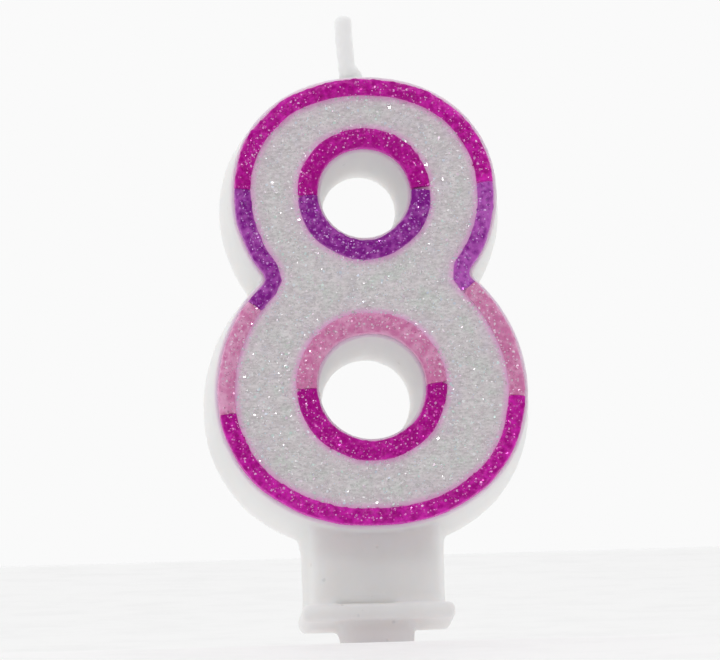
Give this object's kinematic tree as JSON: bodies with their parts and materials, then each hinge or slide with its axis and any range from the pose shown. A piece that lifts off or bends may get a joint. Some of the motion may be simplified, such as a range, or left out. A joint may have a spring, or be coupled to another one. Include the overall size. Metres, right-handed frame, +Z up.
{
  "type": "number birthday candle",
  "caption": "Flat moulded wax numeral eight candle with see-through holes, glittered face, coloured gel border, stem with foot bar and peg, and a bendable wick.",
  "frame": {"origin": "on the peg's bottom face, on the candle's centre line, halfway through the depth of the glittered figure", "axes": "+Z up along the numeral towards the wick, -Y out of the glittered front face, +X to the right as seen from the front"},
  "size_m": [0.0394, 0.0127, 0.0777],
  "materials": {
    "white_wax": "smooth white paraffin wax, softly translucent, satin",
    "silver_glitter": "clear glue coat filled with fine silver and iridescent glitter",
    "magenta_gel": "glossy magenta gel with fine glitter",
    "purple_gel": "glossy purple gel with fine glitter",
    "pink_gel": "glossy light pink gel with fine glitter",
    "waxed_wick": "white braided cotton, stiffened with wax"
  },
  "bodies": {
    "candle": {"wax_body": "white_wax", "glitter_coat": "silver_glitter", "border_top_magenta": "magenta_gel", "border_right_purple": "purple_gel", "border_right_pink": "pink_gel", "border_bottom_magenta": "magenta_gel", "border_left_pink": "pink_gel", "border_left_purple": "purple_gel", "upper_ring_magenta": "magenta_gel", "upper_ring_purple": "purple_gel", "lower_ring_pink": "pink_gel", "lower_ring_magenta": "magenta_gel", "wick_core": "waxed_wick"},
    "wick_end": {"wick_tip": "waxed_wick"}
  },
  "joints": [
    {"name": "wick_bend", "type": "hinge", "parent": "candle", "child": "wick_end", "pos_m": [-0.001, 0, 0.06957], "axis": [0, 1, 0], "range_deg": [-28, 32]}
  ]
}
